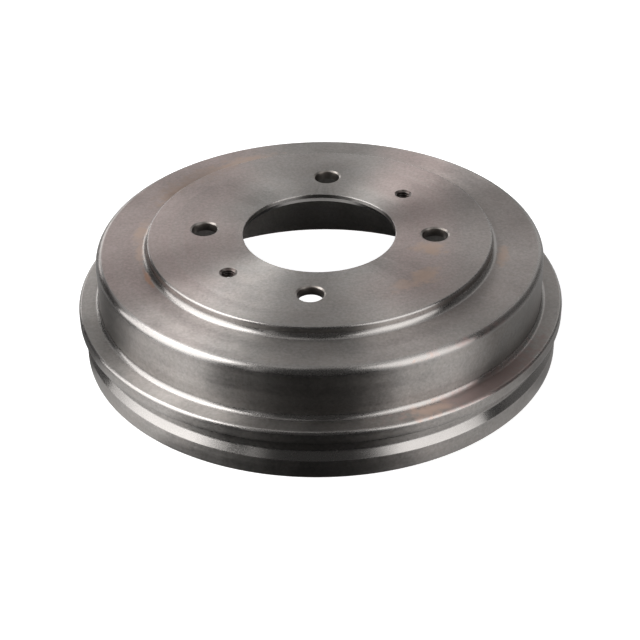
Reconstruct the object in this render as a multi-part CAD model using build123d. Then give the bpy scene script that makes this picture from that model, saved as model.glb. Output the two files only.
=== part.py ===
from build123d import *
from math import radians, tan
import os

# Brake drum: one iron casting, turned all over. Sizes are in millimetres.
# The open rim stands on z = 0, the drum's axis is Z, and the hub face is on top.
# Stud holes lie on the X and Y axes.

# What the drum fits
friction_diameter = 203.0
bore_diameter = 75.5
bolt_circle_diameter = 114.3
stud_count = 4
stud_hole_diameter = 12.7
tapped_hole_count = 2
tapped_hole_diameter = 8.0

# Hub plate, the raised middle that bolts to the hub
drum_height = 58.8
hub_face_diameter = 170.6
hub_step = 5.4
hub_plate_thickness = 4.6
bore_land_height = 2.0

# Shoulder round the hub plate, and the drum's side wall
shoulder_thickness = 5.2
step_thickness = 5.2
wall_thickness = 9.25

# Flange ring round the wall: its edge stands out from the wall by flange_width
flange_width = 10.55
flange_height = 26.9
flange_thickness = 6.2

# Groove under the flange ring and rim below it, both measured in from the flange's edge
groove_depth = 5.0
rim_setback = 2.25
rim_height = 9.3
rim_cone_angle = 37.0

# Corners and edges
step_foot_radius = 3.0
shoulder_radius = 3.7
flange_foot_radius = 2.6
hub_edge_break = 0.65
flange_edge_break = 0.95
edge_break = 0.4
mouth_lead = 1.5
bore_lead_width = 1.5
cavity_corner = 3.0
stud_hole_lead = 0.65
tapped_hole_lead = 0.6

# Levels and radii that follow from the sizes above
friction_radius = friction_diameter / 2
bore_radius = bore_diameter / 2
wall_radius = friction_radius + wall_thickness
hub_radius = hub_face_diameter / 2
shoulder_level = drum_height - hub_step
hub_seat_level = drum_height - hub_plate_thickness
cavity_roof_level = shoulder_level - shoulder_thickness


def soft_corner(corner, radius):
    """Rounds a corner of a face with two arcs and a narrow flat between, so that it has few facets."""
    place = Vector(corner.X, corner.Y)
    face = chamfer(corner, 0.64 * radius)
    return fillet(face.vertices().sort_by_distance(place)[:2], radius)


def outside_corners():
    """Corners of the outside, from the bore down to the rim: radius, height, finish, its size."""
    flange_radius = wall_radius + flange_width
    flange_bottom = flange_height - flange_thickness
    groove_radius = flange_radius - groove_depth
    rim_radius = flange_radius - rim_setback
    # The cone between groove and rim leans out by rim_cone_angle from the axis.
    cone_height = (rim_radius - groove_radius) / tan(radians(rim_cone_angle))
    return [
        (bore_radius, drum_height, chamfer, edge_break),
        (hub_radius, drum_height, chamfer, hub_edge_break),
        (hub_radius, shoulder_level, soft_corner, step_foot_radius),
        (wall_radius, shoulder_level, soft_corner, shoulder_radius),
        (wall_radius, flange_height, soft_corner, flange_foot_radius),
        (flange_radius, flange_height, chamfer, flange_edge_break),
        (flange_radius, flange_bottom, chamfer, edge_break),
        (groove_radius, flange_bottom, None, 0),
        (groove_radius, rim_height + cone_height, None, 0),
        (rim_radius, rim_height, None, 0),
        (rim_radius, 0, chamfer, edge_break),
    ]


def inside_corners():
    """Corners of the cavity, from the mouth up to the bore, in the same form."""
    step_radius = hub_radius - step_thickness
    bore_land_bottom = drum_height - bore_land_height
    return [
        (friction_radius, 0, chamfer, mouth_lead),
        (friction_radius, cavity_roof_level, chamfer, cavity_corner),
        (step_radius, cavity_roof_level, None, 0),
        (step_radius, hub_seat_level, None, 0),
        (bore_radius + bore_lead_width, hub_seat_level, None, 0),
        (bore_radius, bore_land_bottom, None, 0),
    ]


def turned_casting():
    """The drum as it leaves the lathe: its section swept once round the axis."""
    corners = outside_corners() + inside_corners()
    outline = Polyline([(radius, height) for radius, height, _, _ in corners], close=True)
    section = make_face(outline)
    for radius, height, finish, size in corners:
        if finish:
            corner = section.vertices().sort_by_distance((radius, height))[0]
            section = finish(corner, size)
    return revolve(Plane.XZ * section, axis=Axis.Z)


def drilled_hole(diameter, lead):
    """Tool for a hole down through the hub plate, with a 45 degree lead at the hub face."""
    radius = diameter / 2
    shaft = Pos(0, 0, drum_height / 2) * Cylinder(radius, 2 * drum_height)
    return shaft + Pos(0, 0, drum_height) * Cone(radius, radius + 2 * lead, 2 * lead)


def brake_drum():
    """The casting with its stud holes, and tapped holes midway between pairs of studs."""
    circle = bolt_circle_diameter / 2
    pitch = 360 / stud_count
    studs = [pitch * i for i in range(stud_count)]
    gaps = [round(stud_count * i / tapped_hole_count) for i in range(tapped_hole_count)]
    taps = [pitch * (gap + 0.5) for gap in gaps]
    stud_hole = Pos(circle, 0, 0) * drilled_hole(stud_hole_diameter, stud_hole_lead)
    tapped_hole = Pos(circle, 0, 0) * drilled_hole(tapped_hole_diameter, tapped_hole_lead)
    drum = turned_casting()
    drum -= [Rot(0, 0, angle) * stud_hole for angle in studs]
    drum -= [Rot(0, 0, angle) * tapped_hole for angle in taps]
    return drum


drum = brake_drum()
os.makedirs("parts", exist_ok=True)
export_step(drum, "parts/brake_drum.step")
print("brake_drum", drum.is_valid, round(drum.volume), drum.bounding_box())
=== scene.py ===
import math

import bpy
from mathutils import Matrix, Vector
from mathutils.geometry import delaunay_2d_cdt


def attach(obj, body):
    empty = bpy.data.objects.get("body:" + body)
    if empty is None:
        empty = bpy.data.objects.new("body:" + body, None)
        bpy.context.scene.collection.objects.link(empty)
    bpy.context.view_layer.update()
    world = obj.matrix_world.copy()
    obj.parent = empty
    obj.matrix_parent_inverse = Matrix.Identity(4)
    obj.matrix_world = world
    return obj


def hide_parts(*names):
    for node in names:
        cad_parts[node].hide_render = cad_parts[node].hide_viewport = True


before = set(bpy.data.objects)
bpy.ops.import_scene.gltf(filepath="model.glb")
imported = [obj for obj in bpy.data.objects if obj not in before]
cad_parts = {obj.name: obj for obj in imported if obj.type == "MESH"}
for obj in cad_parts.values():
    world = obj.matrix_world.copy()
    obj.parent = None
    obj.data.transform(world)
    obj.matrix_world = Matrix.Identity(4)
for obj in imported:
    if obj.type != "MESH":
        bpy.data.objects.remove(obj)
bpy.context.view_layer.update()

MM = 0.001

# Driving sizes of the casting in millimetres, the same as in the solid
FRICTION_RADIUS = 203.0 / 2
BORE_RADIUS = 75.5 / 2
BOLT_CIRCLE_RADIUS = 114.3 / 2
STUD_HOLE_RADIUS = 12.7 / 2
TAPPED_HOLE_RADIUS = 8.0 / 2
DRUM_HEIGHT = 58.8
HUB_RADIUS = 170.6 / 2
HUB_STEP = 5.4
HUB_PLATE_THICKNESS = 4.6
BORE_LAND_HEIGHT = 2.0
BORE_LEAD_WIDTH = 1.5
SHOULDER_THICKNESS = 5.2
STEP_THICKNESS = 5.2
WALL_THICKNESS = 9.25
CAVITY_CORNER = 3.0
MOUTH_LEAD = 1.5
FLANGE_WIDTH = 10.55
FLANGE_TOP = 26.9
FLANGE_THICKNESS = 6.2
GROOVE_DEPTH = 5.0
RIM_SETBACK = 2.25
RIM_HEIGHT = 9.3
RIM_CONE_ANGLE = math.radians(37)

# Roundings of its corners and edges
HUB_EDGE_ROUND = 1.1
STEP_FOOT_ROUND = 3.0
SHOULDER_ROUND = 3.7
FLANGE_FOOT_ROUND = 2.6
FLANGE_EDGE_ROUND = 1.6
GROOVE_ROUND = 0.5
CONE_ROUND = 1.8
CAVITY_ROUND = 0.8
EDGE_ROUND = 0.4

# Levels and radii that follow from the sizes above
SHOULDER_LEVEL = DRUM_HEIGHT - HUB_STEP
HUB_SEAT_LEVEL = DRUM_HEIGHT - HUB_PLATE_THICKNESS
BORE_LAND_BOTTOM = DRUM_HEIGHT - BORE_LAND_HEIGHT
BORE_LEAD_RADIUS = BORE_RADIUS + BORE_LEAD_WIDTH
CAVITY_ROOF_LEVEL = SHOULDER_LEVEL - SHOULDER_THICKNESS
STEP_RADIUS = HUB_RADIUS - STEP_THICKNESS
WALL_RADIUS = FRICTION_RADIUS + WALL_THICKNESS
FLANGE_RADIUS = WALL_RADIUS + FLANGE_WIDTH
FLANGE_BOTTOM = FLANGE_TOP - FLANGE_THICKNESS
GROOVE_RADIUS = FLANGE_RADIUS - GROOVE_DEPTH
RIM_RADIUS = FLANGE_RADIUS - RIM_SETBACK
CONE_TOP = RIM_HEIGHT + (RIM_RADIUS - GROOVE_RADIUS) / math.tan(RIM_CONE_ANGLE)

# Leads and threads of the holes as the photograph shows them, and where the holes are, in degrees
STUD_HOLE_LEAD = 0.9
TAPPED_HOLE_LEAD = 0.4
LEAD_SLOPE = 0.6
LEAD_EDGE = 0.08
STUD_ANGLES = (0, 90, 180, 270)
TAPPED_ANGLES = (45, 225)
THREAD_PITCH = 1.25
THREAD_CREST_RADIUS = 3.25
THREAD_ROOT_FLAT = 0.08
THREAD_FLANK = 0.32

# The photograph's camera, fitted to the drum's circles in it: picture in pixels, places in metres
PICTURE_PIXELS = 640
FOCAL_PIXELS = 1518.85
SENSOR_WIDTH = 36
CAMERA_TURN = math.radians(4.595)
CAMERA_PLACE = (-0.000369, -0.64996, 0.437914)
CAMERA_TARGET = (-0.000369, 0.000142, 0.006153)
CAMERA_ROLL = math.radians(-0.98)

# Fineness of the visible mesh
TURNS = 512
STUD_TURNS = 72
THREAD_TURNS = 96
THREAD_ROWS = 64
CARD_TURNS = 72
SHARP_ANGLE = math.radians(28)
SAME_POINT = 1e-6
BORE_POLYGON = 0.9999
HOLE_POLYGON = 0.999

# Turned iron: its colours, how slowly its rings change along the turning, and how they climb walls
GREEN_GREY = (0.263, 0.251, 0.24, 1)
WARM_GREY = (0.268, 0.25, 0.238, 1)
PINK_GREY = (0.296, 0.243, 0.231, 1)
DARK_MOTTLE = (0.215, 0.188, 0.172, 1)
LIGHT_RING = (0.315, 0.30, 0.28, 1)
# Roundings and leads: a finer cut, and a painted highlight that makes their shine lighter and whiter
FINE_CUT_AND_SHEEN = (0.28, 0.267, 0.257, 1)
RING_DRIFT = 0.012
RING_CLIMB = 1.37
SHINE_TINT = (0.8, 0.8, 0.8, 1)
BUMP_STRENGTH = 0.15
BUMP_DISTANCE = 0.0001

# Light and dark of the iron in the holes
DRILLED_LIGHT = (0.24, 0.222, 0.208, 1)
DRILLED_DARK = (0.18, 0.16, 0.145, 1)
TAPPED_LIGHT = (0.15, 0.135, 0.125, 1)
TAPPED_DARK = (0.09, 0.07, 0.065, 1)

# Rust bloom, and one painted highlight: azimuth in degrees, radius, half length along the turning and half
# width, strength, colour
TAN = (0.32, 0.245, 0.205, 1)
PALE = (0.405, 0.305, 0.25, 1)
ROSE = (0.31, 0.235, 0.22, 1)
ORANGE = (0.415, 0.245, 0.17, 1)
STAINS_AND_SHEEN = [
    (178, 90.5, 11, 3, 0.75, PALE),
    (190, 89, 12, 2, 0.6, PALE),
    (206, 88.6, 10, 1.4, 0.75, ORANGE),
    (151, 92, 13, 4, 0.65, PALE),
    (137, 91, 36, 10, 0.6, TAN),
    (119, 94, 18, 6, 0.55, PALE),
    (354, 91, 10, 3, 0.7, PALE),
    (346, 56, 6, 8, 0.9, PALE),
    (324, 65.5, 9, 6, 0.85, PALE),
    (312, 64, 7, 4, 0.5, PALE),
    (316, 116, 46, 7, 0.9, ROSE),
    # Partly a painted highlight: a lighter tan patch on the flange top at the right front, where a
    # highlight falls
    (299, 116, 11, 5, 0.7, PALE),
]

# The floor in metres. No lamp reaches it inside the drum, where its glow alone is white
FLOOR_HALF = 8
FLOOR_DROP = 0.0003
UNDER_DRUM_RADIUS = 0.109
GLOW_START = 0.12
GLOW_END = 0.8
GLOW_NEAR = 0.68
GLOW_FAR = 0.95
FLOOR_COLOUR = (0.85, 0.85, 0.85, 1)

# Dark and grey panels of the room and the floor, as reflections see them:
# first and last azimuth and lowest and highest elevation in degrees, level
PANEL_BLUR = math.radians(5)
ROOM_PANELS = [
    (-5, 55, 0, 58, 0.17),
    (75, 111, 0, 90, 0.56),
    (108, 123, 43, 90, 0.56),
    (122, 180, 0, 36, 0.07),
    (215, 240, 0, 77, 0.02),
    (245, 301, 0, 90, 0.09),
    (235, 340, 60, 90, 0.02),
    (345, 365, 0, 57, 0.02),
]
FLOOR_PANELS = [
    (170, 205, 0, 90, 0.2),
    (200, 235, 0, 90, 1.05),
    (235, 299, 0, 90, 0.02),
    (312, 338, 0, 90, 0.9),
]
# Darker sectors of the painted shade on the floor inside the drum
INSIDE_SHADE_PANELS = [
    (62, 118, 0, 90, 0.03),
    (200, 340, 0, 90, 0.05),
]
BORE_PANELS = [
    (190, 350, 0, 90, 0.02),
]

# Cards on the floor: name, inner and outer radius in metres, level between the panels, panels
CARD_LIFT = 0.0001
FLOOR_CARDS = [
    ("floor_card", 0.112, 3.0, 0.54, FLOOR_PANELS),
    # Painted shade: a dark ring on the floor inside the drum, seen only in reflections, where the drum's
    # shadow falls
    ("inside_shade_card", 0.048, 0.1028, 0.2, INSIDE_SHADE_PANELS),
    # Painted pool of light: a bright ring on the floor under the bore, seen only in reflections, where
    # light comes in through the bore; its panel darkens it at the front
    ("bore_light_card", 0.036, 0.048, 0.95, BORE_PANELS),
    ("middle_card", 0.0, 0.036, 0.05, []),
]

# Lamps: name, azimuth and elevation in degrees, distance, width and height in metres, brightness
SOFTBOXES = [
    ("softbox_left", 195, 27, 1.5, 1.6, 1.22, 3.04),
    ("softbox_top_left", 184, 57, 1.4, 1.46, 0.4, 5.3),
    ("softbox_back", 112, 19, 1.6, 1.6, 0.32, 2.6),
    ("softbox_right", 328, 31, 1.5, 1.15, 1.99, 1.94),
]
LAMP_AIM = Vector((0, 0, 0.03))
WORLD_LEVEL = 0.1


# Section of the casting

def fillet_points(before, corner, after, radius, steps):
    """Points of the arc that rounds a corner between two straight lines."""
    corner = Vector(corner)
    to_before = (Vector(before) - corner).normalized()
    to_after = (Vector(after) - corner).normalized()
    half = to_before.angle(to_after) / 2
    setback = radius / math.tan(half)
    middle = (to_before + to_after).normalized()
    centre = corner + middle * (radius / math.sin(half))
    start = corner + to_before * setback - centre
    end = corner + to_after * setback - centre
    sweep = start.angle_signed(end)
    points = []
    for i in range(steps + 1):
        turn = Matrix.Rotation(-sweep * i / steps, 2)
        points.append(tuple(centre + turn @ start))
    return points


def section_chain(corners):
    """An open run of the section. Each corner has radius, height, rounding and the arc's steps.

    The first and last corners only give directions.
    """
    points = []
    for i in range(1, len(corners) - 1):
        r, z, radius, steps = corners[i]
        if radius:
            points += fillet_points(corners[i - 1][:2], (r, z), corners[i + 1][:2], radius, steps)
        else:
            points.append((r, z))
    return points


def outside_chain():
    """From the hub face's outer edge round the rim and the cavity to the hub seat."""
    return section_chain([
        (BORE_RADIUS, DRUM_HEIGHT, 0, 0),
        (HUB_RADIUS, DRUM_HEIGHT, HUB_EDGE_ROUND, 6),
        (HUB_RADIUS, SHOULDER_LEVEL, STEP_FOOT_ROUND, 12),
        (WALL_RADIUS, SHOULDER_LEVEL, SHOULDER_ROUND, 14),
        (WALL_RADIUS, FLANGE_TOP, FLANGE_FOOT_ROUND, 10),
        (FLANGE_RADIUS, FLANGE_TOP, FLANGE_EDGE_ROUND, 7),
        (FLANGE_RADIUS, FLANGE_BOTTOM, EDGE_ROUND, 4),
        (GROOVE_RADIUS, FLANGE_BOTTOM, GROOVE_ROUND, 4),
        (GROOVE_RADIUS, CONE_TOP, CONE_ROUND, 5),
        (RIM_RADIUS, RIM_HEIGHT, GROOVE_ROUND, 3),
        (RIM_RADIUS, 0, EDGE_ROUND, 4),
        (FRICTION_RADIUS + MOUTH_LEAD, 0, 0, 0),
        (FRICTION_RADIUS, MOUTH_LEAD, 0, 0),
        (FRICTION_RADIUS, CAVITY_ROOF_LEVEL - CAVITY_CORNER, CAVITY_ROUND, 3),
        (FRICTION_RADIUS - CAVITY_CORNER, CAVITY_ROOF_LEVEL, CAVITY_ROUND, 3),
        (STEP_RADIUS, CAVITY_ROOF_LEVEL, EDGE_ROUND, 4),
        (STEP_RADIUS, HUB_SEAT_LEVEL, EDGE_ROUND, 4),
        (BORE_RADIUS, HUB_SEAT_LEVEL, 0, 0),
    ])


def bore_chain():
    """From the hub seat up the bore to the hub face's inner edge."""
    return section_chain([
        (STEP_RADIUS, HUB_SEAT_LEVEL, 0, 0),
        (BORE_LEAD_RADIUS, HUB_SEAT_LEVEL, 0, 0),
        (BORE_RADIUS, BORE_LAND_BOTTOM, 0, 0),
        (BORE_RADIUS, DRUM_HEIGHT, EDGE_ROUND, 4),
        (HUB_RADIUS, DRUM_HEIGHT, 0, 0),
    ])


# Mesh

class MeshLists:
    """Vertices and faces of the piece, with the material number of each face."""

    def __init__(self):
        self.verts = []
        self.faces = []
        self.kinds = []

    def ring(self, centre, radius, z, count):
        """Adds a circle of vertices and returns their numbers."""
        first = len(self.verts)
        for i in range(count):
            a = 2 * math.pi * i / count
            self.verts.append((centre[0] + radius * math.cos(a), centre[1] + radius * math.sin(a), z))
        return list(range(first, first + count))

    def band(self, ring_a, ring_b, kind):
        """Quads between two rings of the same count."""
        n = len(ring_a)
        for i in range(n):
            j = (i + 1) % n
            self.faces.append((ring_a[i], ring_b[i], ring_b[j], ring_a[j]))
            self.kinds.append(kind)


def fill_plate(mesh, outer, inner, holes, kind, up):
    """Triangles of a flat ring with round holes, between rings that exist already."""
    rings = [outer, inner] + [hole["ring"] for hole in holes]
    numbers = [n for ring in rings for n in ring]
    coords = [Vector(mesh.verts[n][:2]) for n in numbers]
    edges, at = [], 0
    for ring in rings:
        edges += [(at + i, at + (i + 1) % len(ring)) for i in range(len(ring))]
        at += len(ring)
    found = delaunay_2d_cdt(coords, edges, [], 0, SAME_POINT)
    points, triangles, sources = found[0], found[2], found[3]
    outer_r, inner_r = coords[0].length, coords[len(outer)].length
    for triangle in triangles:
        middle = sum((points[i] for i in triangle), Vector((0, 0))) / 3
        # The rings are polygons, so plate may lie a little inside the circle of the bore or a hole.
        if not inner_r * BORE_POLYGON < middle.length < outer_r:
            continue
        if any((middle - hole["centre"]).length < hole["radius"] * HOLE_POLYGON for hole in holes):
            continue
        face = [numbers[sources[i][0]] for i in triangle]
        mesh.faces.append(tuple(face if up else reversed(face)))
        mesh.kinds.append(kind)


def thread_radius(turn, z):
    """Radius of the tapped hole's wall: a thread's flanks between its flat roots and crests.

    Half the root's flat and a flank are shares of the pitch.
    """
    phase = (z / THREAD_PITCH - turn) % 1
    slope = min(1, max(0, (abs(phase - 0.5) - THREAD_ROOT_FLAT) / THREAD_FLANK))
    return TAPPED_HOLE_RADIUS - (TAPPED_HOLE_RADIUS - THREAD_CREST_RADIUS) * slope


def tapped_wall(mesh, centre, top_ring, kind):
    """Rows of vertices down a tapped hole, from the hub face's ring to the hub seat's."""
    height = DRUM_HEIGHT - HUB_SEAT_LEVEL
    previous = top_ring
    for row in range(1, THREAD_ROWS + 1):
        z = DRUM_HEIGHT - height * row / THREAD_ROWS
        lead = TAPPED_HOLE_RADIUS + TAPPED_HOLE_LEAD - (DRUM_HEIGHT - z) / LEAD_SLOPE
        ring = []
        for i in range(THREAD_TURNS):
            turn = i / THREAD_TURNS
            radius = THREAD_CREST_RADIUS if row == THREAD_ROWS else max(thread_radius(turn, z), lead)
            a = 2 * math.pi * turn
            ring.append(len(mesh.verts))
            mesh.verts.append((centre.x + radius * math.cos(a), centre.y + radius * math.sin(a), z))
        mesh.band(previous, ring, kind)
        previous = ring
    return previous


def stud_wall(mesh, centre, top_ring, kind):
    """The wall of a stud hole with its lead, down to the hub seat."""
    previous = top_ring
    lead_bottom = DRUM_HEIGHT - STUD_HOLE_LEAD * LEAD_SLOPE
    for radius, z in (
        (STUD_HOLE_RADIUS + 0.75 * LEAD_EDGE, lead_bottom + 0.5 * LEAD_EDGE),
        (STUD_HOLE_RADIUS, lead_bottom - LEAD_EDGE),
        (STUD_HOLE_RADIUS, HUB_SEAT_LEVEL),
    ):
        ring = mesh.ring(centre, radius, z, STUD_TURNS)
        mesh.band(previous, ring, kind)
        previous = ring
    return previous


def drum_mesh():
    """The whole casting as one closed mesh, in millimetres."""
    mesh = MeshLists()
    turned, drilled, tapped = 0, 1, 2
    ends = []
    for chain in (outside_chain(), bore_chain()):
        rings = [mesh.ring((0, 0), r, z, TURNS) for r, z in chain]
        for a, b in zip(rings, rings[1:]):
            mesh.band(a, b, turned)
        ends.append((rings[0], rings[-1]))
    (hub_outer, seat_outer), (seat_inner, hub_inner) = ends
    top_holes, seat_holes = [], []
    for degrees in STUD_ANGLES + TAPPED_ANGLES:
        a = math.radians(degrees)
        centre = Vector((BOLT_CIRCLE_RADIUS * math.cos(a), BOLT_CIRCLE_RADIUS * math.sin(a)))
        if degrees in TAPPED_ANGLES:
            mouth, exit_radius = TAPPED_HOLE_RADIUS + TAPPED_HOLE_LEAD, THREAD_CREST_RADIUS
            turns, wall, kind = THREAD_TURNS, tapped_wall, tapped
        else:
            mouth, exit_radius = STUD_HOLE_RADIUS + STUD_HOLE_LEAD, STUD_HOLE_RADIUS
            turns, wall, kind = STUD_TURNS, stud_wall, drilled
        top = mesh.ring(centre, mouth, DRUM_HEIGHT, turns)
        bottom = wall(mesh, centre, top, kind)
        top_holes.append({"ring": top, "centre": centre, "radius": mouth})
        seat_holes.append({"ring": bottom, "centre": centre, "radius": exit_radius})
    fill_plate(mesh, hub_outer, hub_inner, top_holes, turned, True)
    fill_plate(mesh, seat_outer, seat_inner, seat_holes, turned, False)
    return mesh


def mesh_object(name, lists, materials):
    """An object in metres from lists in millimetres, smooth but for its sharp edges."""
    data = bpy.data.meshes.new(name)
    data.from_pydata([tuple(c * MM for c in v) for v in lists.verts], [], lists.faces)
    for material in materials:
        data.materials.append(material)
    data.polygons.foreach_set("material_index", lists.kinds)
    data.polygons.foreach_set("use_smooth", [True] * len(data.polygons))
    data.set_sharp_from_angle(angle=SHARP_ANGLE)
    data.validate()
    data.update()
    piece = bpy.data.objects.new(name, data)
    bpy.context.scene.collection.objects.link(piece)
    return piece


# Materials

class Nodes:
    """Short calls for building the node tree of a material or a world.

    A socket is named by its label with _ for each space, or by i and its number.
    """

    def __init__(self, owner):
        owner.use_nodes = True
        self.owner = owner
        self.tree = owner.node_tree
        self.tree.nodes.clear()

    def add(self, kind, settings=None, **inputs):
        node = self.tree.nodes.new(kind)
        for key, value in (settings or {}).items():
            setattr(node, key, value)
        for key, value in inputs.items():
            socket = node.inputs[int(key[1:])] if key[1:].isdigit() else node.inputs[key.replace("_", " ")]
            if isinstance(value, bpy.types.NodeSocket):
                self.tree.links.new(value, socket)
            else:
                socket.default_value = value
        return node

    def math(self, operation, a, b=0.0, c=0.0):
        return self.add("ShaderNodeMath", {"operation": operation}, i0=a, i1=b, i2=c).outputs[0]

    def noise(self, vector, scale, detail=3.0, rough=0.5):
        node = self.add("ShaderNodeTexNoise", Vector=vector, Scale=scale, Detail=detail, Roughness=rough)
        return node.outputs[0]

    def ramp(self, value, low, high, to_low=0.0, to_high=1.0, smooth=True):
        kind = "SMOOTHSTEP" if smooth else "LINEAR"
        node = self.add("ShaderNodeMapRange", {"interpolation_type": kind}, i0=value, i1=low, i2=high,
                        i3=to_low, i4=to_high)
        return node.outputs[0]

    def mix(self, factor, a, b, blend="MIX"):
        node = self.add("ShaderNodeMix", {"data_type": "RGBA", "blend_type": blend}, i0=factor, i6=a, i7=b)
        return node.outputs[2]

    def bump(self, height):
        node = self.add("ShaderNodeBump", Strength=BUMP_STRENGTH, Distance=BUMP_DISTANCE, Height=height)
        return node.outputs[0]


def cylinder_coordinates(n):
    """Object position, its parts, how far the surface looks up, and how far it leans."""
    coordinates = n.add("ShaderNodeTexCoord").outputs
    position = coordinates["Object"]
    split = n.add("ShaderNodeSeparateXYZ", Vector=position)
    x, y, z = split.outputs
    radius = n.math("SQRT", n.math("ADD", n.math("MULTIPLY", x, x), n.math("MULTIPLY", y, y)))
    up = n.add("ShaderNodeSeparateXYZ", Vector=coordinates["Normal"]).outputs[2]
    slope = n.math("ABSOLUTE", up)
    leaning = n.math("MULTIPLY", n.ramp(slope, 0.02, 0.2), n.ramp(slope, 0.975, 0.9995, 1.0, 0.0))
    return position, x, y, z, radius, up, leaning


def iron_noises(n, position, x, y, z, radius):
    """Noises of the turned surface by name. Rings change fast across the turning, slowly along it."""
    slow_x = n.math("MULTIPLY", x, RING_DRIFT)
    slow_y = n.math("MULTIPLY", y, RING_DRIFT)
    across = n.math("ADD", radius, n.math("MULTIPLY", z, RING_CLIMB))
    ring_vector = n.add("ShaderNodeCombineXYZ", X=slow_x, Y=slow_y, Z=across).outputs[0]
    return {
        "feed": n.noise(ring_vector, 1400.0, 2.0),
        "rings": n.noise(ring_vector, 330.0, 3.0),
        "mottle": n.noise(position, 120.0, 5.0, 0.6),
        "cloud": n.noise(position, 22.0, 3.0),
        "patches": n.noise(position, 60.0, 2.0),
        "sand": n.noise(position, 650.0, 2.0),
        "grain": n.noise(position, 1000.0, 4.0, 0.7),
    }


def iron_colour(n, noises, x, y, z, leaning):
    """Greenish grey that turns pinkish on the left of the top, and less on the right."""
    aside = n.math("MAXIMUM", n.math("MULTIPLY", x, 1.4), n.math("MULTIPLY", x, -1.0))
    aside = n.math("ADD", aside, n.math("MULTIPLY", noises["cloud"], 0.05))
    above_wall = n.ramp(z, 0.0505, 0.053)
    less_at_right = n.ramp(x, 0.055, 0.075, 1.0, 0.35)
    less_in_front = n.ramp(y, -0.075, -0.045, 0.3, 1.0)
    pinkness = n.math("MULTIPLY", n.ramp(aside, 0.05, 0.085), above_wall)
    pinkness = n.math("MULTIPLY", pinkness, less_at_right)
    pinkness = n.math("MULTIPLY", pinkness, less_in_front)
    base = n.mix(n.ramp(noises["cloud"], 0.36, 0.64), GREEN_GREY, WARM_GREY)
    base = n.mix(pinkness, base, PINK_GREY)
    base = n.mix(n.ramp(noises["mottle"], 0.35, 0.68, 0.0, 0.28), base, DARK_MOTTLE)
    base = n.mix(n.ramp(noises["rings"], 0.35, 0.7, 0.0, 0.2), base, LIGHT_RING)
    sandy = n.math("ADD", n.ramp(noises["grain"], 0.3, 0.7, -0.12, 0.12, False),
                   n.ramp(noises["sand"], 0.3, 0.7, 0.925, 1.115, False))
    sandy = n.math("ADD", sandy, n.ramp(noises["patches"], 0.3, 0.7, -0.1, 0.1, False))
    base = n.mix(1.0, base, n.add("ShaderNodeCombineXYZ", X=sandy, Y=sandy, Z=sandy).outputs[0], "MULTIPLY")
    # Roundings and leads are cut finer, with an even colour, and are painted lighter and neutral so that
    # their highlights come out whiter: partly a painted highlight.
    return n.mix(n.math("MULTIPLY", leaning, 0.85), base, FINE_CUT_AND_SHEEN)


def rust_bloom_and_sheen(n, base, position, x, y, z, radius, up):
    """The colour with the rust marks and the painted highlight on it, whose edges a noise breaks up, and
    how much of the colour they cover.
    """
    turn = n.math("ARCTAN2", y, x)
    broken = n.math("MULTIPLY", n.math("SUBTRACT", n.noise(position, 260.0, 4.0, 0.6), 0.5), 2.4)
    above_groove = n.ramp(z, 0.022, 0.025)
    on_top = n.math("MULTIPLY", n.ramp(up, 0.1, 0.6), above_groove)
    stain_and_sheen_share = 0.0
    for azimuth, ring, length, width, strength, colour in STAINS_AND_SHEEN:
        along = n.math("WRAP", n.math("SUBTRACT", turn, math.radians(azimuth)), math.pi, -math.pi)
        along = n.math("MULTIPLY", along, ring / length)
        off = n.math("MULTIPLY", n.math("SUBTRACT", radius, ring * MM), 1 / (width * MM))
        away = n.math("SQRT", n.math("ADD", n.math("MULTIPLY", along, along), n.math("MULTIPLY", off, off)))
        share = n.math("MULTIPLY", n.ramp(n.math("ADD", away, broken), 0.3, 1.3, strength, 0.0), on_top)
        base = n.mix(share, base, colour)
        stain_and_sheen_share = n.math("ADD", stain_and_sheen_share, share)
    return base, stain_and_sheen_share


def iron_roughness(n, noises, z, radius, leaning, stain_and_sheen_share):
    """Satin, rougher in the mottle, the rust and the painted highlight, and finer on roundings and on the
    bore's lead.
    """
    rough = n.math("ADD", n.ramp(noises["rings"], 0.3, 0.7, 0.31, 0.37, False),
                   n.ramp(noises["mottle"], 0.35, 0.75, 0.0, 0.06, False))
    rough = n.math("ADD", rough, n.ramp(noises["grain"], 0.3, 0.7, -0.03, 0.03, False))
    rough = n.math("MULTIPLY_ADD", stain_and_sheen_share, 0.08, rough)
    rough = n.math("MULTIPLY", rough, n.ramp(leaning, 0.0, 1.0, 1.0, 0.72, False))
    inside_lead = n.ramp(radius, 0.0393, 0.0396, 1.0, 0.0)
    below_land = n.ramp(z, 0.0567, 0.057, 1.0, 0.0)
    bore_lead = n.math("MULTIPLY", inside_lead, below_land)
    return n.math("MULTIPLY", rough, n.ramp(bore_lead, 0.0, 1.0, 1.0, 0.5, False))


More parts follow.
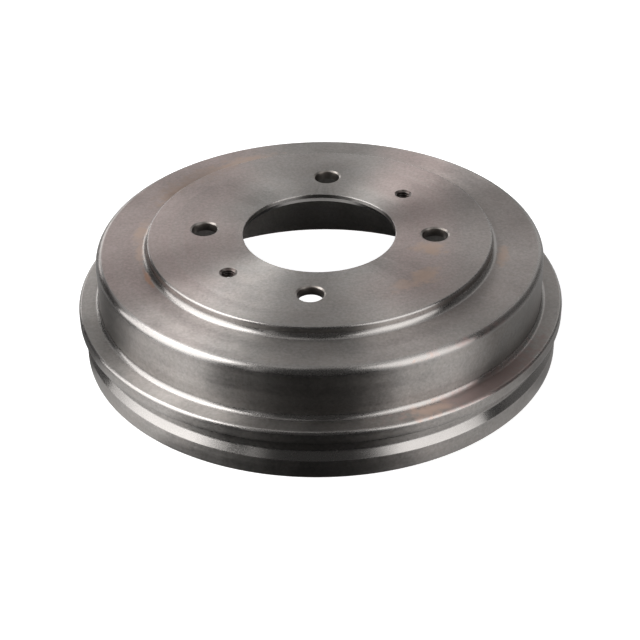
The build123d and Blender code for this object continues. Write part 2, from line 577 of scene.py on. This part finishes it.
def turned_iron():
    """Anisotropic round the axis, so that light draws out across the turning."""
    n = Nodes(bpy.data.materials.new("turned_iron"))
    position, x, y, z, radius, up, leaning = cylinder_coordinates(n)
    noises = iron_noises(n, position, x, y, z, radius)
    base = iron_colour(n, noises, x, y, z, leaning)
    base, stain_and_sheen_share = rust_bloom_and_sheen(n, base, position, x, y, z, radius, up)
    rough = iron_roughness(n, noises, z, radius, leaning, stain_and_sheen_share)
    height = n.math("ADD", n.math("MULTIPLY", noises["feed"], 0.6), noises["rings"])
    height = n.math("ADD", height, n.math("MULTIPLY", noises["grain"], 0.25))
    height = n.math("MULTIPLY", height, n.ramp(leaning, 0.0, 1.0, 1.0, 0.0, False))
    bump = n.bump(height)
    tangent = n.add("ShaderNodeTangent", {"direction_type": "RADIAL", "axis": "Z"}).outputs[0]
    shader = n.add("ShaderNodeBsdfPrincipled", Base_Color=base, Metallic=1.0, Roughness=rough,
                   Specular_Tint=SHINE_TINT, Anisotropic=0.95, Anisotropic_Rotation=0.25,
                   Normal=bump, Tangent=tangent)
    n.add("ShaderNodeOutputMaterial", Surface=shader.outputs[0])
    return n.owner


def hole_iron(name, light, dark, smooth, coarse):
    """Iron in a drilled hole: rings of the drill round the hole's own wall, and stains."""
    n = Nodes(bpy.data.materials.new(name))
    position = n.add("ShaderNodeTexCoord").outputs["Object"]
    _, _, z = n.add("ShaderNodeSeparateXYZ", Vector=position).outputs
    mottle = n.noise(position, 500.0, 4.0, 0.6)
    marks = n.noise(n.add("ShaderNodeCombineXYZ", Z=z).outputs[0], 2600.0, 2.0)
    base = n.mix(n.ramp(mottle, 0.3, 0.7), light, dark)
    rough = n.ramp(mottle, 0.3, 0.7, smooth, coarse, False)
    height = n.math("MULTIPLY_ADD", marks, 1.5, mottle)
    bump = n.bump(height)
    shader = n.add("ShaderNodeBsdfPrincipled", Base_Color=base, Metallic=1.0, Roughness=rough, Normal=bump)
    n.add("ShaderNodeOutputMaterial", Surface=shader.outputs[0])
    return n.owner


# Studio

def seen_by_eye(n):
    """1 for rays of the camera and for those that a gloss or a glass sends on, else 0."""
    path = n.add("ShaderNodeLightPath").outputs
    glossy = n.math("MAXIMUM", path["Is Glossy Ray"], path["Is Transmission Ray"])
    return n.math("MAXIMUM", path["Is Camera Ray"], glossy)


def floor_material():
    """Pale and matt, so it keeps the drum's shadow, with a glow for the eye that makes it white."""
    n = Nodes(bpy.data.materials.new("pale_floor"))
    position = n.add("ShaderNodeTexCoord").outputs["Object"]
    away = n.add("ShaderNodeVectorMath", {"operation": "LENGTH"}, i0=position).outputs["Value"]
    under_drum = n.math("LESS_THAN", away, UNDER_DRUM_RADIUS)
    level = n.math("MAXIMUM", n.ramp(away, GLOW_START, GLOW_END, GLOW_NEAR, GLOW_FAR), under_drum)
    glow = n.add("ShaderNodeEmission", Strength=n.math("MULTIPLY", seen_by_eye(n), level))
    matt = n.add("ShaderNodeBsdfDiffuse", Color=FLOOR_COLOUR)
    both = n.add("ShaderNodeAddShader", i0=glow.outputs[0], i1=matt.outputs[0])
    n.add("ShaderNodeOutputMaterial", Surface=both.outputs[0])
    return n.owner


def room_level(n, x, y, z, base, panels):
    """Level of the room or a card in the direction x, y, z: the base, and soft-edged panels."""
    azimuth = n.math("ARCTAN2", y, x)
    elevation = n.math("ARCSINE", z)
    level = base
    for start, end, low, high, value in panels:
        middle, half = math.radians((start + end) / 2), math.radians(end - start) / 2
        aside = n.math("ABSOLUTE", n.math("WRAP", n.math("SUBTRACT", azimuth, middle), math.pi, -math.pi))
        share = n.ramp(aside, half - PANEL_BLUR, half + PANEL_BLUR, 1.0, 0.0)
        if low > 0:
            edge = math.radians(low)
            above = n.ramp(elevation, edge - PANEL_BLUR, edge + PANEL_BLUR)
            share = n.math("MULTIPLY", share, above)
        if high < 90:
            edge = math.radians(high)
            below = n.ramp(elevation, edge - PANEL_BLUR, edge + PANEL_BLUR, 1.0, 0.0)
            share = n.math("MULTIPLY", share, below)
        level = n.math("MULTIPLY_ADD", share, n.math("SUBTRACT", value, level), level)
    return level


def stage_mesh(name, verts, faces, material, to_camera=True):
    """A stage object. Where it isn't for the camera, it casts no shadow and lights nothing matt."""
    data = bpy.data.meshes.new(name)
    data.from_pydata(verts, [], faces)
    data.materials.append(material)
    piece = bpy.data.objects.new(name, data)
    bpy.context.scene.collection.objects.link(piece)
    if not to_camera:
        piece.visible_camera = False
        piece.visible_shadow = False
        piece.visible_diffuse = False
    return piece


def floor_card(name, inner, outer, base, panels):
    """A ring on the floor that only reflections see: a level, and panels as sectors of it."""
    n = Nodes(bpy.data.materials.new(name))
    position = n.add("ShaderNodeTexCoord").outputs["Object"]
    x, y, _ = n.add("ShaderNodeSeparateXYZ", Vector=position).outputs
    level = room_level(n, x, y, 0.0, base, panels)
    glow = n.add("ShaderNodeEmission", Strength=level)
    n.add("ShaderNodeOutputMaterial", Surface=glow.outputs[0])
    verts, faces = [], []
    for i in range(CARD_TURNS):
        a = 2 * math.pi * i / CARD_TURNS
        for r in (inner, outer):
            verts.append((r * math.cos(a), r * math.sin(a), CARD_LIFT))
        j = (i + 1) % CARD_TURNS
        faces.append((2 * i, 2 * i + 1, 2 * j + 1, 2 * j))
    return stage_mesh(name, verts, faces, n.owner, False)


def softbox(name, azimuth, elevation, distance, width, height, radiance):
    """A soft lamp that looks at the drum. Its power follows from how bright its face looks."""
    lamp = bpy.data.lights.new(name, "AREA")
    lamp.shape = "RECTANGLE"
    lamp.size = width
    lamp.size_y = height
    lamp.energy = radiance * math.pi * width * height
    piece = bpy.data.objects.new(name, lamp)
    bpy.context.scene.collection.objects.link(piece)
    a, e = math.radians(azimuth), math.radians(elevation)
    away = Vector((math.cos(a) * math.cos(e), math.sin(a) * math.cos(e), math.sin(e)))
    piece.location = LAMP_AIM + away * distance
    piece.rotation_euler = away.to_track_quat("Z", "Y").to_euler()
    piece.visible_camera = False
    return piece


def white_world(level, panels):
    """White to the eye, plain light of the level on the object, and panels in reflections."""
    n = Nodes(bpy.data.worlds.new("studio"))
    bpy.context.scene.world = n.owner
    direction = n.add("ShaderNodeTexCoord").outputs["Generated"]
    x, y, z = n.add("ShaderNodeSeparateXYZ", Vector=direction).outputs
    path = n.add("ShaderNodeLightPath").outputs
    plain = n.math("MAXIMUM", n.math("MAXIMUM", path["Is Camera Ray"], path["Is Transmission Ray"]), level)
    beyond = n.math("SUBTRACT", room_level(n, x, y, z, 1.0, panels), plain)
    strength = n.math("MULTIPLY_ADD", path["Is Glossy Ray"], beyond, plain)
    background = n.add("ShaderNodeBackground", Color=(1, 1, 1, 1), Strength=strength)
    n.add("ShaderNodeOutputWorld", Surface=background.outputs[0])


def camera():
    """The photograph's view: lens and place from the circles of the drum in the picture."""
    lens = bpy.data.cameras.new("camera")
    lens.lens = SENSOR_WIDTH * FOCAL_PIXELS / PICTURE_PIXELS
    lens.sensor_width = SENSOR_WIDTH
    lens.clip_start = 0.01
    lens.clip_end = 50
    piece = bpy.data.objects.new("camera", lens)
    bpy.context.scene.collection.objects.link(piece)
    turn = Matrix.Rotation(CAMERA_TURN, 3, "Z")
    place = turn @ Vector(CAMERA_PLACE)
    target = turn @ Vector(CAMERA_TARGET)
    aim = (place - target).to_track_quat("Z", "Y")
    roll = Matrix.Rotation(CAMERA_ROLL, 3, "Z").to_quaternion()
    piece.location = place
    piece.rotation_euler = (aim @ roll).to_euler()
    bpy.context.scene.camera = piece


camera()
materials = [
    turned_iron(),
    hole_iron("drilled_iron", DRILLED_LIGHT, DRILLED_DARK, 0.28, 0.4),
    hole_iron("tapped_iron", TAPPED_LIGHT, TAPPED_DARK, 0.25, 0.4),
]
drum = mesh_object("brake_drum_casting", drum_mesh(), materials)
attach(drum, "root")
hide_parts("brake_drum")

white_world(WORLD_LEVEL, ROOM_PANELS)
floor_corners = [
    (-FLOOR_HALF, -FLOOR_HALF, -FLOOR_DROP),
    (FLOOR_HALF, -FLOOR_HALF, -FLOOR_DROP),
    (FLOOR_HALF, FLOOR_HALF, -FLOOR_DROP),
    (-FLOOR_HALF, FLOOR_HALF, -FLOOR_DROP),
]
stage_mesh("floor", floor_corners, [(0, 1, 2, 3)], floor_material())
for card in FLOOR_CARDS:
    floor_card(*card)
for lamp in SOFTBOXES:
    softbox(*lamp)

bpy.context.scene.view_settings.view_transform = "Standard"
